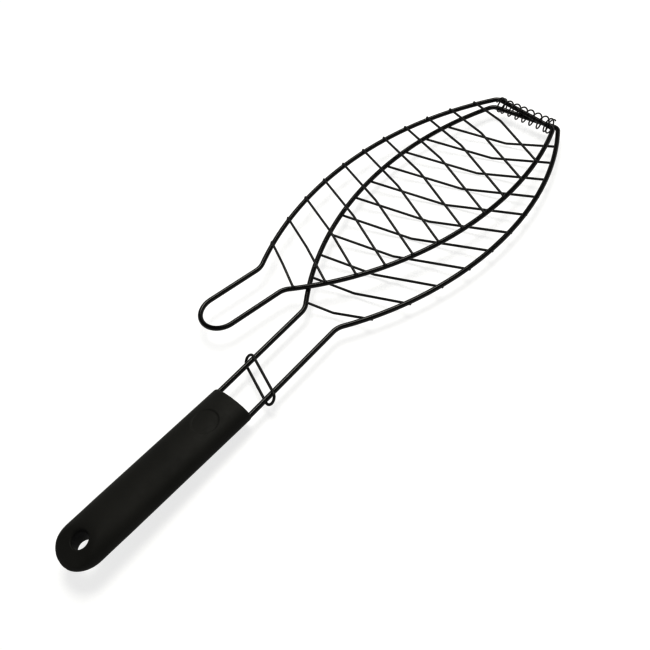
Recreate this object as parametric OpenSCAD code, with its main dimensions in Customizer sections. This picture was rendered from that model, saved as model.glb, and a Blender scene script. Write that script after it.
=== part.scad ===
// Hinged wire grill basket for a whole fish. Millimetres, +Z up, +Y from the handle to the hinge.
// The design is laid out from the hinge bar: a station s is the distance from it towards the handle.
// Finally everything moves so that the origin is the centre of the hanging hole.

/* [Grates] */
// Thick outer wire of each grate, diameter
frame_d = 3.9; // [2.5:0.1:5]
// Half of the basket's greatest width
half_w = 68; // [50:0.5:90]
// Station of the greatest width
wide_s = 127; // [100:1:150]
// Radius of the bowed sides
side_r = 249; // [200:1:320]
// Radius of the corners at the hinge bar
corner_r = 7; // [4:0.5:12]
// Radius of the bends into the neck
neck_r = 14; // [8:0.5:20]
// Half of the spacing of the two neck wires
neck_x = 16.6; // [12:0.1:22]
// Station of the centre of the lid tab's round end
tab_s = 327.2; // [310:0.1:340]

/* [Ribs] */
// Number of ribs in each grate
rib_n = 11; // [7:1:13]
// Rib wire diameter
rib_d = 1.9; // [1.2:0.1:2.5]
// How far a rib's centre line lies outside the frame's at the weld
weld_z = 2.2; // [1.5:0.05:2.8]
// Depth of the deepest ridge, from the frame's centre line
ridge_z = 10.6; // [5:0.1:18]
// Bend radius at the ridge
ridge_r = 9; // [6:1:30]
// Length of rib wire that stands out past the frame's centre line
stub = 1.2; // [0.6:0.1:4]
// First and last station of the rib ends nearer the neck
near_s = [42, 272];
// First and last station of the rib ends nearer the hinge
far_s = [19.7, 256.7];
// How far the rib ends nearer the neck bow from an even pitch, in the base and in the lid
near_bow = [0.11, 0.16];
// The same for the rib ends nearer the hinge
far_bow = [0.44, 0.27];

/* [Hinge] */
// Gap between the two grates' wires where they cross
lay_gap = 0.2; // [0.2:0.05:1]
// Sideways swing of the lid as it lies, in degrees
swing = 12; // [0:1:14]
// Coil wire diameter
coil_d = 1.2; // [0.8:0.1:2]
// Coil inner radius
coil_in = 5.65; // [5.5:0.05:9]
// Half of the coil's length between wire centres
coil_half = 28.6; // [24:0.2:30]
// Open turns, and close turns at each end
coil_turns = 6.5; // [5:0.5:10]
end_turns = 1.4; // [1:0.1:3]
// Pitch of the close turns, and where round the bars the wire starts, in degrees
end_pitch = 2.4; // [1.2:0.1:4]
coil_start = 133; // [0:1:359]

/* [Lock ring] */
// Ring wire diameter
ring_d = 2; // [1.4:0.1:2.5]
// Overall length and clear height of the ring
ring_len = 49.4; // [46:0.1:54]
ring_in = 8.1; // [8:0.1:12]
// Station of the ring's centre as it lies, its shift across and how far it hangs down
ring_s = 346.2; // [335:0.1:355]
ring_x = 0.3; // [-1:0.1:1]
ring_hang = 0.33; // [0:0.01:0.6]
// Lean of the ring from upright, and its skew across the wires
ring_lean = 47.5; // [0:0.5:60]
ring_skew = 22.3; // [0:0.1:24]

/* [Handle] */
// Station of the handle's mouth and of the hanging hole
mouth_s = 372.5; // [365:0.5:380]
hole_s = 506.5; // [480:0.5:520]
// Station of the centre of the handle's round end
end_s = 505.9; // [480:0.1:520]
// Half width, and half thickness, of the grip
grip_w = 19; // [18.6:0.1:24]
grip_h = 8.2; // [7:0.1:12]
// Fullness of the grip's oval section, 1 for an ellipse and less for a boxier one
oval_p = 0.95; // [0.7:0.01:1]
// Number of flats round the section
oval_n = 48; // [24:4:96]
// Upward slope of the handle in degrees
rise = 2.8; // [0:0.1:8]
// Height of the grip's middle above its wires
grip_up = 0.65; // [0:0.05:1]
// Where the back starts to fall away towards the end, and the radius of that fall
fall_s = 490.5; // [480:0.5:500]
fall_r = 65; // [50:1:120]
// Hanging hole radius, and the chamfer at its rims
hole_r = 6; // [5:0.1:8]
hole_ch = 0.8; // [0.4:0.1:1.5]
// Radius and depth of the round thumb recess, and its station
disc_r = 10; // [6:0.5:11]
disc_t = 0.5; // [0.3:0.1:1]
disc_s = 397.8; // [390:0.1:405]
// Fall of the grip's back over the recess's radius
back_t = 1.2; // [0.5:0.1:3]
// Length of frame wire held inside the handle
wire_in = 100; // [40:1:115]

/* [Hidden] */
$fn = 48;
fr = frame_d / 2;
rr = rib_d / 2;
step = 0.015;                            // rods are this much thinner than bends
bite = 0.25;                             // and run this far into them
lid_z = frame_d + lay_gap;
big_x = half_w - side_r;                 // centre of the right bowed side, at station wide_s
coil_r = coil_in + coil_d / 2;
// corner between hinge bar and bowed side
corner_x = sqrt(pow(side_r - corner_r, 2) - pow(wide_s - corner_r, 2)) + big_x;
corner_a = atan2(wide_s - corner_r, corner_x - big_x);
// bend between bowed side and neck
neck_s = wide_s + sqrt(pow(side_r + neck_r, 2) - pow(neck_x + neck_r - big_x, 2));
neck_a = atan2(neck_s - wide_s, neck_x + neck_r - big_x);
// bend of the neck wires at the handle's mouth
kink_r = 60;
kink = kink_r * tan(rise / 2);
// fall of the back at the hole: its slope and depth
fall_a = asin((hole_s - fall_s) / fall_r);
fall_z = fall_r * (1 - cos(fall_a));
// lowest and highest full circle of the hole's wall, and the middle between them, from the grip's middle
wall_lo = hole_ch - grip_h;
wall_hi = grip_h - fall_z - hole_ch - (hole_r + hole_ch) * tan(fall_a);
hole_up = grip_up + (wall_lo + wall_hi) / 2;
// the middle of the hole, with the handle rising from the wires' plane at the mouth
hole_y = -mouth_s - (hole_s - mouth_s) * cos(rise) + hole_up * sin(rise);
hole_z = (hole_s - mouth_s) * sin(rise) + hole_up * cos(rise);
// radius that follows the grip's oval back, for the recess's floor
back_r = (pow(disc_r, 2) + pow(back_t, 2)) / (2 * back_t);

function half_at(s) = big_x + sqrt(pow(side_r, 2) - pow(s - wide_s, 2));
// stations of rib i's two ends in grate g, the base (0) or the lid (1)
function near_at(i, g) = near_s[0] + i * (near_s[1] - near_s[0]) / (rib_n - 1) + near_bow[g] * i * (rib_n - 1 - i);
function far_at(i, g) = far_s[0] + i * (far_s[1] - far_s[0]) / (rib_n - 1) - far_bow[g] * i * (rib_n - 1 - i);
function ridge_at(s) = ridge_z - 0.005 * (s - 140) - 3.9 * pow((s - 140) / 140, 2);

module coating() color([0.07, 0.07, 0.065]) children();
module from_hole() translate([0, -hole_y, -hole_z]) children();
module in_lid() translate([0, 0, lid_z]) rotate([0, 0, -swing]) children();

// straight wire along +X, a hair thinner than the bends that its ends run into
module rod(len, r, in0 = 0, in1 = 0) translate([-in0, 0, 0]) rotate([0, 90, 0])
  cylinder(r = r - step, h = len + in0 + in1);
// wire bend in the XY plane about the origin, from angle a0 through da
module bend(br, r, a0, da) rotate([0, 0, a0]) rotate_extrude(angle = da) translate([br, 0]) circle(r = r);

// hinge bar, and the right side of a grate's outline from its corner into the neck
module hinge_bar() translate([-corner_x, 0, 0]) rod(2 * corner_x, fr, bite, bite);
module side_wire(neck_end) {
  over = bite / side_r * 180 / PI;
  translate([corner_x, -corner_r, 0]) bend(corner_r, fr, corner_a, 90 - corner_a);
  translate([big_x, -wide_s, 0]) bend(side_r, fr - step, -neck_a - over, neck_a + corner_a + 2 * over);
  translate([neck_x + neck_r, -neck_s, 0]) bend(neck_r, fr, 180 - neck_a, neck_a);
  translate([neck_x, -neck_s, 0]) rotate([0, 0, -90]) rod(neck_end - neck_s, fr, bite, bite);
}

module base_frame() coating() from_hole() {
  hinge_bar();
  for (m = [0, 1]) mirror([m, 0, 0]) {
    side_wire(mouth_s - kink);
    grip_wire();
  }
}

// wire end that the handle is moulded on, bent up by the handle's rise at its mouth
module grip_wire() translate([neck_x, 0, 0]) {
  translate([0, kink - mouth_s, kink_r]) rotate([0, -90, 0]) bend(kink_r, fr, 180, rise);
  translate([0, -mouth_s, 0]) rotate([-rise, 0, 0]) translate([0, -kink, 0]) rotate([0, 0, -90])
    rod(wire_in - kink, fr, bite);
}

module lid_frame() coating() from_hole() in_lid() {
  hinge_bar();
  for (m = [0, 1]) mirror([m, 0, 0]) side_wire(tab_s);
  translate([0, -tab_s, 0]) bend(neck_x, fr, 180, 180);
}

// one rib of grate g as in the base: low ridge over x = 0, ends welded under the frame wires
module rib(i, g) {
  a = [-half_at(near_at(i, g)), -near_at(i, g)];
  b = [half_at(far_at(i, g)), -far_at(i, g)];
  len = norm(b - a);
  ridge = len * -a[0] / (b[0] - a[0]);
  drop = ridge_at(-(a[1] + (b[1] - a[1]) * ridge / len)) - weld_z;
  left = atan2(drop, ridge);
  right = atan2(drop, len - ridge);
  tan_len = ridge_r * tan((left + right) / 2);
  l1 = norm([ridge, drop]) - tan_len;
  l2 = norm([len - ridge, drop]) - tan_len;
  translate([a[0], a[1], -weld_z]) rotate([0, 0, atan2(b[1] - a[1], b[0] - a[0])]) rotate([90, 0, 0]) {
    rotate([0, 0, -left]) {
      rod(l1, rr, stub, bite);
      translate([l1, ridge_r, 0]) bend(ridge_r, rr, -90, left + right);
    }
    translate([len, 0, 0]) rotate([0, 0, 180 + right]) rod(l2, rr, stub, bite);
  }
}

module base_rib(i) coating() from_hole() rib(i - 1, 0);
// the lid is the base turned over: its ribs lie on top and slant the other way
module lid_rib(i) coating() from_hole() in_lid() rotate([0, 180, 0]) rib(i - 1, 1);

// spring-like coil round both hinge bars, lying at half of the lid's swing
module hinge_coil() {
  sides = 8;
  steps = 24;
  total = coil_turns + 2 * end_turns;
  open_pitch = (2 * coil_half - 2 * end_turns * end_pitch) / coil_turns;
  function along(t) = t < end_turns ? t * end_pitch
    : t < end_turns + coil_turns ? end_turns * end_pitch + (t - end_turns) * open_pitch
    : 2 * coil_half - (total - t) * end_pitch;
  n = round(total * steps);
  pts = [for (k = [0:n]) let (t = k / steps, w = coil_start - 360 * t, x = along(t) - coil_half)
    for (j = [0:sides - 1]) let (c = coil_r + coil_d / 2 * cos(360 * j / sides))
      [x + coil_d / 2 * sin(-360 * j / sides), c * cos(w), c * sin(w)]];
  skin = [for (k = [0:n - 1]) for (j = [0:sides - 1]) let (q = (j + 1) % sides)
    each [[k * sides + j, k * sides + q, (k + 1) * sides + q], [k * sides + j, (k + 1) * sides + q, (k + 1) * sides + j]]];
  ends = [[for (j = [sides - 1:-1:0]) j], [for (j = [0:sides - 1]) n * sides + j]];
  coating() from_hole() translate([0, 0, lid_z / 2]) rotate([0, 0, -swing / 2])
    polyhedron(points = pts, faces = concat(skin, ends), convexity = 12);
}

// flat loop of wire, leaning and skewed on the two neck wires
module lock_ring() {
  er = (ring_in + ring_d) / 2;
  leg = (ring_len - ring_d) / 2 - er;
  coating() from_hole() translate([ring_x, -ring_s, -ring_hang]) rotate([0, 0, -ring_skew]) rotate([-ring_lean, 0, 0])
    rotate([90, 0, 0]) for (m = [0, 1]) mirror([m, 0, 0]) {
      for (y = [-er, er]) translate([0, y, 0]) rod(leg, ring_d / 2, bite, bite);
      translate([leg, 0, 0]) bend(er, ring_d / 2, -90, 180);
    }
}

// oval section of the grip, widest along X; half = its right half
function oval(inset, half) = [for (i = half ? [0:oval_n / 2] : [0:oval_n - 1])
  let (t = 360 * i / oval_n - 90, c = abs(cos(t)) < 1e-9 ? 0 : cos(t))
  [sign(c) * (grip_w - inset) * pow(abs(c), oval_p), sign(sin(t)) * (grip_h - inset) * pow(abs(sin(t)), oval_p)]];

module handle() color([0.09, 0.09, 0.085]) from_hole()
  translate([0, -mouth_s, 0]) rotate([-rise, 0, 0]) difference() {
    translate([0, 0, grip_up]) difference() {
      union() {
        rotate([90, 0, 0]) linear_extrude(end_s - mouth_s) polygon(oval(0, false));
        translate([0, mouth_s - end_s, 0]) rotate_extrude($fn = 96) polygon(oval(step, true));
      }
      // the back falls away towards the end
      difference() {
        translate([-2 * grip_w, mouth_s - fall_s - fall_r, -fall_r]) cube([4 * grip_w, fall_r, 2 * fall_r]);
        translate([0, mouth_s - fall_s, grip_h - fall_r]) rotate([0, 90, 0])
          cylinder(r = fall_r, h = 5 * grip_w, center = true, $fn = 180);
      }
      translate([0, mouth_s - hole_s, 0]) {
        cylinder(r = hole_r, h = 4 * grip_h, center = true);
        translate([0, 0, -grip_h - hole_ch]) cylinder(r1 = hole_r + 2 * hole_ch, r2 = hole_r, h = 2 * hole_ch);
        translate([0, 0, wall_hi]) cylinder(r1 = hole_r, r2 = hole_r + 3 * hole_ch, h = grip_h);
      }
      difference() {
        translate([0, mouth_s - disc_s, 0]) cylinder(r = disc_r, h = 2 * grip_h);
        translate([0, 0, grip_h - disc_t - back_r]) rotate([90, 0, 0])
          cylinder(r = back_r, h = hole_s - mouth_s, $fn = 180);
      }
    }
    for (x = [-neck_x, neck_x]) translate([x, 1, 0]) rotate([90, 0, 0]) cylinder(r = fr, h = wire_in + 1);
  }

base_frame();
for (i = [1:rib_n]) base_rib(i);
lid_frame();
for (i = [1:rib_n]) lid_rib(i);
hinge_coil();
lock_ring();
handle();
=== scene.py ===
"""Looks of the hinged fish grill basket. Sizes are millimetres laid out from the hinge bar, as in the CAD:
x across, s the station from the hinge bar towards the handle, z up from the base frame's centre line."""
import math

import bmesh
import bpy
from mathutils import Matrix, Quaternion, Vector, noise

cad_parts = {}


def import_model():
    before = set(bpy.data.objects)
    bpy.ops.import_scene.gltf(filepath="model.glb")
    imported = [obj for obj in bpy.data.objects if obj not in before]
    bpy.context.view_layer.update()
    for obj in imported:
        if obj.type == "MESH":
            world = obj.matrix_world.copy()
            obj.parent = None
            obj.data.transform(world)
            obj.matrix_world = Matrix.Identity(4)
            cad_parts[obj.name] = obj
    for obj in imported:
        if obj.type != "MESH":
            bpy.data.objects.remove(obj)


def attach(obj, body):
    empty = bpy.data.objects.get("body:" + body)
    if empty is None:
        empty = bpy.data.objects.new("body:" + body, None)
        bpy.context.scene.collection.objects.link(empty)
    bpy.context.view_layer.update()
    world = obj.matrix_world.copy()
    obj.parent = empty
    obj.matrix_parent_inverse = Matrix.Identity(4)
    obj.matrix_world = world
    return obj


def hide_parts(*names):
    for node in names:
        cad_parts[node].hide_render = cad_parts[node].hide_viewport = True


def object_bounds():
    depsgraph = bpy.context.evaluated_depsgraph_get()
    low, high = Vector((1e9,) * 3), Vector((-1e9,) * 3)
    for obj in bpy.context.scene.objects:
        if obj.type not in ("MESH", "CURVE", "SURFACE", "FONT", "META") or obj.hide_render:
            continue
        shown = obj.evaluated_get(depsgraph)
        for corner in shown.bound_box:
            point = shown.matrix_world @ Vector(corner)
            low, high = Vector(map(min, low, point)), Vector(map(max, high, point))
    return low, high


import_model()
cad_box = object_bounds()

# ---------------------------------------------------------------- sizes
FRAME_R, RIB_R, COIL_R, RING_R = 1.95, 0.95, 0.6, 1.0      # wire radii
HALF_W, WIDE_S, SIDE_R = 68, 127, 249                      # bowed sides
CORNER_R, NECK_R, NECK_X, TAB_S = 7, 14, 16.6, 327.2       # corners, neck and tab
RIBS, WELD_Z, RIDGE_Z, RIDGE_R, STUB = 11, 2.2, 10.6, 9, 1.2
RIDGE_S, RIDGE_TILT, RIDGE_BOW = 140, 0.005, 3.9           # ridge depth: middle, fall per mm, loss towards the ends
BEAD_SIZE, BEAD_IN = (1.5, 1.8, 0.72), 0.45                # weld bead half sizes, and its shift from rib to frame
NEAR_S, FAR_S = (42, 272), (19.7, 256.7)                   # rib ends nearer the neck, nearer the hinge
NEAR_BOW = {"base": 0.11, "lid": 0.16}                     # their bow from an even pitch
FAR_BOW = {"base": 0.44, "lid": 0.27}
LID_Z, SWING = 4.1, 12                                     # lid above base, and its sideways swing
COIL_IN, COIL_HALF, COIL_TURNS = 5.65, 28.6, 6.5
END_TURNS, END_PITCH, COIL_START = 1.4, 2.4, 133
RING_LEN, RING_IN, RING_S, RING_X, RING_HANG = 49.4, 8.1, 346.2, 0.3, 0.33
RING_LEAN, RING_SKEW = 47.5, 22.3
MOUTH_S, END_S, HOLE_S = 372.5, 505.9, 506.5               # handle's mouth, centre of its round end, hanging hole
RISE, GRIP_UP = 2.8, 0.65                                  # upward slope, and middle above the wires
GRIP_W, GRIP_H, GRIP_P = 19, 8.2, 0.95                     # half width and height, fullness of the oval
FALL_S, FALL_R = 490.5, 65                                 # back falling away towards the end
HOLE_R, HOLE_CH = 6, 0.8
DISC_R, DISC_S, DISC_T = 10, 397.8, 0.5                    # round recess
KINK_R, WIRE_IN = 60, 60                                   # neck wires' bend at the mouth, and run hidden in the grip
END_BENDS = (1.57, 0.9, 0.4)                               # angles round a softened wire end, cut face first

BIG_X = HALF_W - SIDE_R
CORNER_X = math.sqrt((SIDE_R - CORNER_R) ** 2 - (WIDE_S - CORNER_R) ** 2) + BIG_X
CORNER_A = math.atan2(WIDE_S - CORNER_R, CORNER_X - BIG_X)
NECK_S = WIDE_S + math.sqrt((SIDE_R + NECK_R) ** 2 - (NECK_X + NECK_R - BIG_X) ** 2)
NECK_A = math.atan2(NECK_S - WIDE_S, NECK_X + NECK_R - BIG_X)
TILT = math.radians(RISE)
FALL_A = math.asin((HOLE_S - FALL_S) / FALL_R)             # slope and depth of the back at the hole
FALL_Z = FALL_R * (1 - math.cos(FALL_A))
HOLE_UP = GRIP_UP + (-FALL_Z - (HOLE_R + HOLE_CH) * math.tan(FALL_A)) / 2
HOLE = Vector((0, -MOUTH_S - (HOLE_S - MOUTH_S) * math.cos(TILT) + HOLE_UP * math.sin(TILT),
               (HOLE_S - MOUTH_S) * math.sin(TILT) + HOLE_UP * math.cos(TILT)))

# millimetres from the hinge bar to metres from the hanging hole
TO_ROW = Matrix.Scale(0.001, 4) @ Matrix.Translation(-HOLE)
IN_LID = TO_ROW @ Matrix.Translation((0, 0, LID_Z)) @ Matrix.Rotation(math.radians(-SWING), 4, "Z")
TURNED = Matrix.Rotation(math.pi, 4, "Y")
IN_GRIP = (TO_ROW @ Matrix.Translation((0, -MOUTH_S, 0)) @ Matrix.Rotation(-TILT, 4, "X")
           @ Matrix.Translation((0, 0, GRIP_UP)))


# ---------------------------------------------------------------- wire paths
def round_angles(n):
    """Angles of n points spaced evenly round a circle."""
    return [2 * math.pi * k / n for k in range(n)]


def arc(centre, radius, a0, da, step=0.9):
    """Points in the XY plane from angle a0 through da, in radians, about step mm apart."""
    n = max(6, round(abs(da) * radius / step), math.ceil(abs(da) / math.radians(7)))
    return [Vector((centre[0] + radius * math.cos(a), centre[1] + radius * math.sin(a), 0))
            for a in (a0 + da * k / n for k in range(n + 1))]


def line(a, b, step=2.5):
    """Points from a to b, about step mm apart."""
    a, b = Vector(a), Vector(b)
    n = max(1, round((b - a).length / step))
    return [a.lerp(b, k / n) for k in range(n + 1)]


def joined(*runs):
    """One path from runs that meet end to end, with the shared points kept once."""
    path = []
    for run in runs:
        for p in run:
            if not path or (p - path[-1]).length > 1e-3:
                path.append(p)
    return path


def mirrored(path):
    return [Vector((-p.x, p.y, p.z)) for p in path]


def right_side(neck_end):
    """From the middle of the hinge bar round the right of the outline to the end of the neck."""
    up = math.pi / 2
    return joined(
        line((0, 0, 0), (CORNER_X, 0, 0)),
        arc((CORNER_X, -CORNER_R), CORNER_R, up, CORNER_A - up, 0.5),
        arc((BIG_X, -WIDE_S), SIDE_R, CORNER_A, -CORNER_A - NECK_A, 2.5),
        arc((NECK_X + NECK_R, -NECK_S), NECK_R, math.pi - NECK_A, NECK_A, 0.8),
        line((NECK_X, -NECK_S, 0), (NECK_X, -neck_end, 0)))


def half_at(s):
    """Half the basket's width between wire centres at a station."""
    return BIG_X + math.sqrt(SIDE_R ** 2 - (s - WIDE_S) ** 2)


def rib_path(i, part):
    """Centre line of a rib, as in the base, from stub to stub, with the places of its two welds."""
    near = NEAR_S[0] + i * (NEAR_S[1] - NEAR_S[0]) / (RIBS - 1) + NEAR_BOW[part] * i * (RIBS - 1 - i)
    far = FAR_S[0] + i * (FAR_S[1] - FAR_S[0]) / (RIBS - 1) - FAR_BOW[part] * i * (RIBS - 1 - i)
    a, b = Vector((-half_at(near), -near, -WELD_Z)), Vector((half_at(far), -far, -WELD_Z))
    run = b - a
    ridge = a + run * (-a.x / run.x)
    s = -ridge.y
    ridge.z = -(RIDGE_Z - RIDGE_TILT * (s - RIDGE_S) - RIDGE_BOW * ((s - RIDGE_S) / RIDGE_S) ** 2)
    u, v = (ridge - a).normalized(), (b - ridge).normalized()
    turn = u.angle(v)
    trim = RIDGE_R * math.tan(turn / 2)
    p, q = ridge - u * trim, ridge + v * trim
    axis = u.cross(v).normalized()
    centre = p + Quaternion(axis, math.pi / 2) @ u * RIDGE_R
    bow = [centre + Quaternion(axis, turn * k / 10) @ (p - centre) for k in range(11)]
    path = joined(line(a - u * STUB, a, 0.65), line(a, p, 1.6), bow, line(q, b, 1.6), line(b, b + v * STUB, 0.65))
    return path, a, b


# ---------------------------------------------------------------- wire surfaces
def frames_along(path, closed):
    """A pair of cross directions at each point, carried along without twist."""
    n = len(path)
    tan = []
    for k in range(n):
        ahead = path[(k + 1) % n] if closed or k < n - 1 else path[k]
        behind = path[k - 1] if closed or k else path[k]
        tan.append((ahead - behind).normalized())
    side = tan[0].cross(Vector((0.31, 0.2, 0.93))).normalized()      # a direction in which no wire starts
    out = []
    for k in range(n):
        if k:
            side = tan[k - 1].rotation_difference(tan[k]) @ side
        side = (side - tan[k] * side.dot(tan[k])).normalized()
        out.append((tan[k], side, tan[k].cross(side)))
    return out


def sweep(bm, path, radius, sides=16, closed=False, swell=None, cap=0.3):
    """A round wire along the path. swell(point) scales the radius there; the ends are rounded over by cap."""
    path = list(path)
    scale = [1.0] * len(path)
    if not closed:
        out0, out1 = (path[0] - path[1]).normalized(), (path[-1] - path[-2]).normalized()
        head = [path[0] - out0 * cap * (1 - math.sin(a)) for a in END_BENDS]
        tail = [path[-1] - out1 * cap * (1 - math.sin(a)) for a in END_BENDS]
        keep = [p for p in path if (p - path[0]).length > cap and (p - path[-1]).length > cap]
        inset = [1 - cap / radius * (1 - math.cos(a)) for a in END_BENDS]
        path = head + keep + tail[::-1]
        scale = inset + [1.0] * len(keep) + inset[::-1]
    dirs = frames_along(path, closed)
    rings = []
    for p, f, (t, u, v) in zip(path, scale, dirs):
        r = radius * f * (swell(p) if swell else 1)
        rings.append([bm.verts.new(p + (u * math.cos(a) + v * math.sin(a)) * r)
                      for a in round_angles(sides)])
    pairs = list(zip(rings, rings[1:])) + ([(rings[-1], rings[0])] if closed else [])
    for a, b in pairs:
        off = 0
        if b is rings[0]:                      # the seam of a closed wire may be turned by a few steps
            off = min(range(sides), key=lambda k: (a[0].co - b[k].co).length)
        for j in range(sides):
            bm.faces.new((a[j], a[(j + 1) % sides], b[(j + 1 + off) % sides], b[(j + off) % sides]))
    if not closed:
        bm.faces.new(rings[0][::-1])
        bm.faces.new(rings[-1])


def weld_bead(bm, at, along, size):
    """Small lens of melted metal and coating where a rib crosses the frame, stretched along the frame wire."""
    along = along.normalized()
    across = Vector((0, 0, 1)).cross(along).normalized()
    up = along.cross(across)
    m = Matrix((across, along, up)).transposed().to_4x4()
    m.translation = at
    bead = bmesh.ops.create_uvsphere(bm, u_segments=14, v_segments=8, radius=1)
    for vert in bead["verts"]:
        p = vert.co
        grow = 1 + 0.1 * noise.noise(p * 1.7 + at * 0.31)
        vert.co = m @ Vector((p.x * size[0] * grow, p.y * size[1] * grow, p.z * size[2]))


def piece(name, bm, place, body, nodes, material):
    """Finishes a mesh built in millimetres into a shown piece of the object."""
    bmesh.ops.transform(bm, matrix=place, verts=bm.verts)
    bmesh.ops.recalc_face_normals(bm, faces=bm.faces)
    mesh = bpy.data.meshes.new(name)
    bm.to_mesh(mesh)
    bm.free()
    for poly in mesh.polygons:
        poly.use_smooth = True
    obj = bpy.data.objects.new(name, mesh)
    bpy.context.scene.collection.objects.link(obj)
    mesh.materials.append(material)
    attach(obj, body)
    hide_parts(*nodes)


# ---------------------------------------------------------------- materials
def ramp(tree, value, stops):
    """Colour that follows value through stops of (position, colour)."""
    node = tree.nodes.new("ShaderNodeValToRGB")
    node.color_ramp.elements[0].position, node.color_ramp.elements[0].color = stops[0][0], (*stops[0][1], 1)
    node.color_ramp.elements[1].position, node.color_ramp.elements[1].color = stops[-1][0], (*stops[-1][1], 1)
    for pos, col in stops[1:-1]:
        node.color_ramp.elements.new(pos).color = (*col, 1)
    tree.links.new(value, node.inputs["Fac"])
    return node.outputs["Color"]


def noise_of(tree, coords, scale, detail=3, rough=0.5):
    """Procedural noise on the given coordinates."""
    node = tree.nodes.new("ShaderNodeTexNoise")
    node.inputs["Scale"].default_value, node.inputs["Detail"].default_value = scale, detail
    node.inputs["Roughness"].default_value = rough
    tree.links.new(coords, node.inputs["Vector"])
    return node.outputs["Fac"]


def spread(tree, value, low, high):
    """Noise stretched over low to high."""
    node = tree.nodes.new("ShaderNodeMapRange")
    node.inputs["From Min"].default_value, node.inputs["From Max"].default_value = 0.3, 0.7
    node.inputs["To Min"].default_value, node.inputs["To Max"].default_value = low, high
    tree.links.new(value, node.inputs["Value"])
    return node.outputs["Result"]


def bumps(tree, layers):
    """A chain of bumps, each (height, strength, distance)."""
    normal = None
    for height, strength, distance in layers:
        node = tree.nodes.new("ShaderNodeBump")
        node.inputs["Strength"].default_value, node.inputs["Distance"].default_value = strength, distance
        tree.links.new(height, node.inputs["Height"])
        if normal:
            tree.links.new(normal, node.inputs["Normal"])
        normal = node.outputs["Normal"]
    return normal


def new_material(name):
    """An empty material, with its tree, shader and object coordinates."""
    mat = bpy.data.materials.new(name)
    mat.use_nodes = True
    tree = mat.node_tree
    coords = tree.nodes.new("ShaderNodeTexCoord").outputs["Object"]
    return mat, tree, tree.nodes["Principled BSDF"], coords


def coating(name, dark, light, rough, grain=900):
    """Baked-on black non-stick coat: faint orange peel, cloudy gloss and thin lighter rubbing."""
    mat, tree, bsdf, coords = new_material(name)
    cloud = noise_of(tree, coords, 55, 4)
    peel = noise_of(tree, coords, grain, 2)
    speck = noise_of(tree, coords, grain * 2.6, 2, 0.6)
    middle = [(a + b) / 2 for a, b in zip(dark, light)]
    tree.links.new(ramp(tree, cloud, [(0.3, dark), (0.55, middle), (0.78, light)]), bsdf.inputs["Base Color"])
    tree.links.new(spread(tree, cloud, rough - 0.05, rough + 0.08), bsdf.inputs["Roughness"])
    tree.links.new(bumps(tree, [(peel, 0.16, 0.00025), (speck, 0.1, 0.00008)]), bsdf.inputs["Normal"])
    bsdf.inputs["Specular IOR Level"].default_value = 0.45
    return mat


def moulded(name):
    """Matte black moulded plastic: fine spark texture, slight sheen variation and a few soft scuffs."""
    mat, tree, bsdf, coords = new_material(name)
    grain = noise_of(tree, coords, 2600, 2, 0.55)
    cloud = noise_of(tree, coords, 30, 3)
    scuff = noise_of(tree, coords, 160, 5, 0.65)
    tree.links.new(ramp(tree, cloud, [(0.3, (0.027, 0.0272, 0.0243)), (0.7, (0.037, 0.0368, 0.0328))]),
                   bsdf.inputs["Base Color"])
    tree.links.new(spread(tree, scuff, 0.5, 0.6), bsdf.inputs["Roughness"])
    tree.links.new(bumps(tree, [(cloud, 0.05, 0.0012), (grain, 0.22, 0.00006)]), bsdf.inputs["Normal"])
    bsdf.inputs["Specular IOR Level"].default_value = 0.2
    return mat


wire_coat = coating("wire_coat", (0.006, 0.006, 0.0055), (0.014, 0.0138, 0.012), 0.22)
rib_coat = coating("rib_coat", (0.005, 0.005, 0.0046), (0.011, 0.0108, 0.01), 0.38)
thin_coat = coating("thin_coat", (0.008, 0.0078, 0.007), (0.02, 0.0195, 0.018), 0.4, 1400)
grip_plastic = moulded("grip_plastic")


# ---------------------------------------------------------------- grates
def grate(part, place, body, tab):
    """The frame wire and its eleven ribs, as the base or turned over as the lid."""
    bm = bmesh.new()
    if tab:
        right = right_side(TAB_S)
        end = arc((0, -TAB_S), NECK_X, 0, -math.pi, 0.9)
        sweep(bm, joined(right, end, mirrored(right)[::-1][:-1]), FRAME_R, 20, closed=True)
    else:
        trim = KINK_R * math.tan(TILT / 2)
        bend = [Vector((NECK_X, trim - MOUTH_S - KINK_R * math.sin(a), KINK_R * (1 - math.cos(a))))
                for a in (TILT * k / 6 for k in range(7))]
        tail = Vector((0, -math.cos(TILT), math.sin(TILT)))
        right = joined(right_side(MOUTH_S - trim), bend, line(bend[-1], bend[-1] + tail * WIRE_IN, 4))
        sweep(bm, joined(mirrored(right)[::-1], right), FRAME_R, 20)
    piece(part + "_frame_wire", bm, place, body, [part + "_frame"], wire_coat)
    for i in range(RIBS):
        bm = bmesh.new()
        path, a, b = rib_path(i, part)
        sweep(bm, path, RIB_R, 14, cap=0.22)
        for end, sign in ((a, -1), (b, 1)):
            lean = math.asin((WIDE_S + end.y) / SIDE_R)           # slope of the frame wire beside the weld
            along = Vector((sign * math.sin(lean), -math.cos(lean), 0))
            weld_bead(bm, end + Vector((0, 0, BEAD_IN)), along, BEAD_SIZE)
        piece(f"{part}_rib_wire_{i + 1}", bm, place @ TURNED if tab else place, body, [f"{part}_rib_{i + 1}"],
              rib_coat)


grate("base", TO_ROW, "base", tab=False)
grate("lid", IN_LID, "lid", tab=True)


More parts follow.
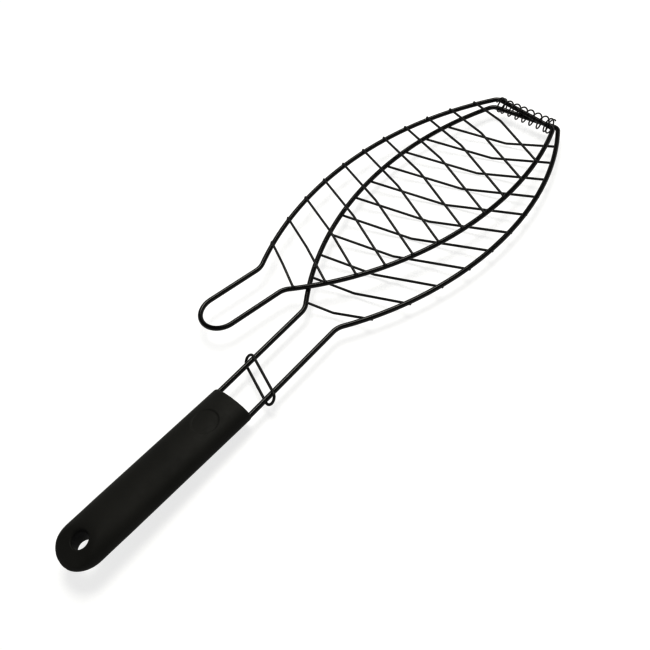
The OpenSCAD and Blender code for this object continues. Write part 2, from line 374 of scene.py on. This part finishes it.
# ---------------------------------------------------------------- hinge coil
def hinge_coil():
    """Loose spiral round both hinge bars, its end turns nearly closed and its cut ends tucked in."""
    total = COIL_TURNS + 2 * END_TURNS
    pitch = (2 * COIL_HALF - 2 * END_TURNS * END_PITCH) / COIL_TURNS
    n = round(total * 36)                                          # points, 36 to a turn
    path = []
    for k in range(n + 1):
        t = total * k / n
        x = (min(t, END_TURNS) + max(t - END_TURNS - COIL_TURNS, 0)) * END_PITCH - COIL_HALF
        x += min(max(t - END_TURNS, 0), COIL_TURNS) * pitch
        x += 0.2 * math.sin(2.1 * t) * min(1, t, total - t)        # never wound quite evenly
        a = math.radians(COIL_START) - 2 * math.pi * t
        path.append(Vector((x, (COIL_IN + COIL_R) * math.cos(a), (COIL_IN + COIL_R) * math.sin(a))))
    bm = bmesh.new()
    sweep(bm, path, COIL_R * 0.99, 12, cap=0.15)                   # a hair under its size
    place = TO_ROW @ Matrix.Translation((0, 0, LID_Z / 2)) @ Matrix.Rotation(math.radians(-SWING / 2), 4, "Z")
    piece("coil_wire", bm, place, "coil", ["hinge_coil"], thin_coat)


hinge_coil()


# ---------------------------------------------------------------- lock ring
def lock_ring():
    """Flat loop leaning and skewed on the neck wires, with the small butt weld that closed it."""
    bend = RING_IN / 2 + RING_R
    leg = RING_LEN / 2 - RING_R - bend
    up = math.pi / 2
    path = joined(line((-leg, -bend, 0), (leg, -bend, 0), 1.2), arc((leg, 0), bend, -up, math.pi, 0.45),
                  line((leg, bend, 0), (-leg, bend, 0), 1.2), arc((-leg, 0), bend, up, math.pi, 0.45)[:-1])
    bm = bmesh.new()
    seam = Vector((3, -bend, 0))
    sweep(bm, path, RING_R, 16, closed=True, swell=lambda p: 1 + 0.1 * math.exp(-((p - seam).length / 1.1) ** 2))
    place = (TO_ROW @ Matrix.Translation((RING_X, -RING_S, -RING_HANG))
             @ Matrix.Rotation(math.radians(-RING_SKEW), 4, "Z")
             @ Matrix.Rotation(math.radians(90 - RING_LEAN), 4, "X"))
    piece("ring_wire", bm, place, "ring", ["lock_ring"], thin_coat)


lock_ring()


# ---------------------------------------------------------------- handle
def power(c, p):
    """c to the power p with its sign kept."""
    return math.copysign(abs(c) ** p, c)


def loft(bm, rings):
    """Closed skin through rings of points, with both ends capped."""
    loops = [[bm.verts.new(p) for p in ring] for ring in rings]
    n = len(loops[0])
    for a, b in zip(loops, loops[1:]):
        for j in range(n):
            bm.faces.new((a[j], a[(j + 1) % n], b[(j + 1) % n], b[j]))
    bm.faces.new(loops[0][::-1])
    bm.faces.new(loops[-1])


def mesh_object(name, bm):
    """An object of the mesh, with its normals outward."""
    bmesh.ops.recalc_face_normals(bm, faces=bm.faces)
    mesh = bpy.data.meshes.new(name)
    bm.to_mesh(mesh)
    bm.free()
    obj = bpy.data.objects.new(name, mesh)
    bpy.context.scene.collection.objects.link(obj)
    return obj


def grip_body():
    """Oval bar along -Y from the mouth, ending in a half round."""
    length = END_S - MOUTH_S
    sides = 96
    rings = []
    stations = [0, 0.25, 0.7, 1.4] + [2 + (length - 2) * k / 60 for k in range(61)]
    stations += [length + GRIP_W * math.sin(math.pi / 2 * k / 40) for k in range(1, 40)] + [length + GRIP_W * 0.9995]
    for d in stations:
        edge = 1 - 0.045 * max(0, 1 - d / 1.4) ** 2               # softened mouth
        slim = 1 - 0.008 * min(1, d / length)                     # a touch slimmer towards the end
        over = max(0, d - length)
        wide = math.sqrt(max(0, GRIP_W ** 2 - over ** 2))
        ring = []
        for t in round_angles(sides):
            x, z = power(math.cos(t), GRIP_P), power(math.sin(t), GRIP_P)
            if over:                                               # the section turned about an upright axis
                rho = min(1, math.hypot(x * wide, over) / GRIP_W)
                z = math.copysign((1 - rho ** (2 / GRIP_P)) ** (GRIP_P / 2), z) if abs(z) > 1e-6 else 0
            ring.append(Vector((x * wide * slim * edge, -d, z * GRIP_H * edge)))
        rings.append(ring)
    bm = bmesh.new()
    loft(bm, rings)
    return mesh_object("grip_body", bm)


def fall_cutter():
    """What the falling back leaves free above the end: the space outside a level cylinder."""
    start, length = MOUTH_S - FALL_S, END_S + GRIP_W - FALL_S + 4
    arc_pts = [(start - d, GRIP_H - FALL_R + math.sqrt(FALL_R ** 2 - d ** 2))
               for d in (length * k / 24 for k in range(25))]
    loop = arc_pts + [(arc_pts[-1][0], GRIP_H + 6), (start, GRIP_H + 6)]
    bm = bmesh.new()
    a, b = [[bm.verts.new((x, y, z)) for y, z in loop] for x in (-GRIP_W - 5, GRIP_W + 5)]
    for k in range(len(loop)):
        m = (k + 1) % len(loop)
        bm.faces.new((a[k], a[m], b[m], b[k]))
    bm.faces.new(a[::-1])
    bm.faces.new(b)
    return mesh_object("fall_cutter", bm)


def turned_cutter(name, profile, place):
    """Solid turned about the Z axis of place, from (radius, height) pairs."""
    bm = bmesh.new()
    loft(bm, [[Vector((r * math.cos(a), r * math.sin(a), z)) for a in round_angles(96)] for r, z in profile])
    bmesh.ops.transform(bm, matrix=place, verts=bm.verts)
    return mesh_object(name, bm)


def bake(obj):
    """Replaces the mesh by its evaluated form and drops the modifiers."""
    dg = bpy.context.evaluated_depsgraph_get()
    mesh = bpy.data.meshes.new_from_object(obj.evaluated_get(dg))
    obj.modifiers.clear()
    obj.data = mesh


def cut(obj, cutter):
    """Takes the cutter's shape out of obj and drops the cutter."""
    mod = obj.modifiers.new("cut", "BOOLEAN")
    mod.operation, mod.solver, mod.object = "DIFFERENCE", "EXACT", cutter
    bake(obj)
    bpy.data.objects.remove(cutter)


def skin(obj, voxel, passes, only=None):
    """Evens out the mesh and softens its edges, wholly or where only(point) says."""
    mod = obj.modifiers.new("skin", "REMESH")
    mod.mode, mod.voxel_size, mod.use_smooth_shade = "VOXEL", voxel, True
    bake(obj)
    mod = obj.modifiers.new("soften", "SMOOTH")
    mod.factor, mod.iterations = 0.5, passes
    if only:
        group = obj.vertex_groups.new(name="soft")
        for v in obj.data.vertices:
            group.add([v.index], only(v.co), "REPLACE")
        mod.vertex_group = group.name
    bake(obj)
    obj.vertex_groups.clear()


def flare(lip):
    """Rounded edge from the hole's wall out to a level face at height 0, and on above it."""
    rim = [(HOLE_R + lip * (1 - math.cos(a)), lip * (math.sin(a) - 1)) for a in (math.pi / 2 * k / 8 for k in range(9))]
    return rim + [(HOLE_R + lip + 3, 0.5), (HOLE_R + lip + 3, 5)]


def bridge(bm, a, b):
    """Faces between two loops of as many points."""
    n = len(a)
    for j in range(n):
        bm.faces.new((a[j], b[j], b[(j + 1) % n], a[(j + 1) % n]))


def recess_cutter():
    """Round plug whose underside follows the grip's curved back, DISC_T below it."""
    bm = bmesh.new()
    n, rows = 96, 14
    at = MOUTH_S - DISC_S

    def floor_at(x):
        return GRIP_H * (1 - abs(x / GRIP_W) ** (2 / GRIP_P)) ** (GRIP_P / 2) - DISC_T

    loops = []
    for k in range(1, rows + 1):
        r = DISC_R * k / rows
        pts = [(r * math.cos(a), r * math.sin(a)) for a in round_angles(n)]
        loops.append([bm.verts.new((x, at + y, floor_at(x))) for x, y in pts])
    low = bm.verts.new((0, at, floor_at(0)))
    high = [bm.verts.new((v.co.x * 1.03, at + (v.co.y - at) * 1.03, GRIP_H + 3)) for v in loops[-1]]
    for j in range(n):
        bm.faces.new((low, loops[0][j], loops[0][(j + 1) % n]))
    for a, b in zip(loops, loops[1:] + [high]):
        bridge(bm, a, b)
    bm.faces.new(high)
    return mesh_object("recess_cutter", bm)


def handle():
    """The moulded grip, with its falling back, rounded hanging hole and plain recess."""
    obj = grip_body()
    cut(obj, fall_cutter())
    skin(obj, 0.6, 60, only=lambda p: min(1, max(0, (MOUTH_S - FALL_S + 8 - p.y) / 12)))
    hole = Matrix.Translation((0, MOUTH_S - HOLE_S, 0))
    below = flare(1.4)
    cut(obj, turned_cutter("bore", [(r, -GRIP_H - z) for r, z in reversed(below)] + [(HOLE_R, GRIP_H)], hole))
    cut(obj, turned_cutter("rim", [(HOLE_R - 2, -5), (HOLE_R - 0.4, -2.7)] + flare(2.2),
                           hole @ Matrix.Translation((0, 0, GRIP_H - FALL_Z)) @ Matrix.Rotation(FALL_A, 4, "X")))
    cut(obj, recess_cutter())
    skin(obj, 0.42, 5)
    bm = bmesh.new()
    bm.from_mesh(obj.data)
    bpy.data.objects.remove(obj)
    piece("grip", bm, IN_GRIP, "base", ["handle"], grip_plastic)


handle()


# ---------------------------------------------------------------- floor, light and camera
def floor():
    """Round studio floor under the object, its far edge swept up into a low wall."""
    z, sides = cad_box[0].z - 0.0003, 96
    flat, out, rise = 3.5, 1.5, 2.6                                # level radius, then the sweep's reach and height, m
    profile = [(flat, 0)] + [(flat + out * math.sin(a), rise * (1 - math.cos(a)))
                             for a in (math.pi / 2 * k / 12 for k in range(1, 13))]
    bm = bmesh.new()
    rings = [[bm.verts.new((r * math.cos(t), r * math.sin(t), z + h)) for t in round_angles(sides)] for r, h in profile]
    bm.faces.new(rings[0])
    for a, b in zip(rings, rings[1:]):
        bridge(bm, a, b)
    obj = mesh_object("floor", bm)
    for poly in obj.data.polygons:
        poly.use_smooth = len(poly.vertices) == 4
    mat, tree, bsdf, coords = new_material("pale_floor")
    soft = noise_of(tree, coords, 3, 2)
    tree.links.new(ramp(tree, soft, [(0.2, (0.24, 0.24, 0.24)), (0.8, (0.26, 0.26, 0.26))]), bsdf.inputs["Base Color"])
    bsdf.inputs["Emission Color"].default_value = (1, 1, 1, 1)
    bsdf.inputs["Emission Strength"].default_value = 0.82
    bsdf.inputs["Roughness"].default_value = 0.9
    bsdf.inputs["Specular IOR Level"].default_value = 0.1
    obj.data.materials.append(mat)


def lamp(name, size, power_w, at, look=(0, 0.25, 0)):
    """Square soft light, size in metres, aimed from at to look."""
    data = bpy.data.lights.new(name, "AREA")
    data.shape, data.size, data.energy = "SQUARE", size, power_w
    data.color = (1, 0.985, 0.93)                                  # slightly warm
    obj = bpy.data.objects.new(name, data)
    bpy.context.scene.collection.objects.link(obj)
    obj.location = at
    obj.rotation_mode = "QUATERNION"
    obj.rotation_quaternion = (Vector(look) - Vector(at)).to_track_quat("-Z", "Y")


def world(strength):
    """Even white light from all round."""
    w = bpy.data.worlds.new("studio")
    bpy.context.scene.world = w
    w.use_nodes = True
    w.node_tree.nodes["Background"].inputs["Color"].default_value = (1, 1, 1, 1)
    w.node_tree.nodes["Background"].inputs["Strength"].default_value = strength


def camera():
    """Stands to the right of the neck and looks down the basket at about fifty degrees."""
    eye = Vector((0.29915, 0.01062, 0.42675))
    heading, pitch, roll = (math.radians(a) for a in (53.76, 50.04, -15.48))
    look = Vector((-math.sin(heading) * math.cos(pitch), math.cos(heading) * math.cos(pitch), -math.sin(pitch)))
    data = bpy.data.cameras.new("camera")
    data.lens, data.sensor_width, data.clip_start = 41.55, 36, 0.01
    obj = bpy.data.objects.new("camera", data)
    bpy.context.scene.collection.objects.link(obj)
    obj.location = eye
    obj.rotation_mode = "QUATERNION"
    obj.rotation_quaternion = look.to_track_quat("-Z", "Y") @ Quaternion((0, 0, 1), roll)
    bpy.context.scene.camera = obj


floor()
world(0.05)
lamp("softbox", 0.8, 22, (-0.33, 0.72, 1.4))
camera()
bpy.context.scene.view_settings.view_transform = "Standard"
bpy.context.scene.view_settings.gamma = 0.62      # under 1, so that thin dark wires keep their weight in the picture
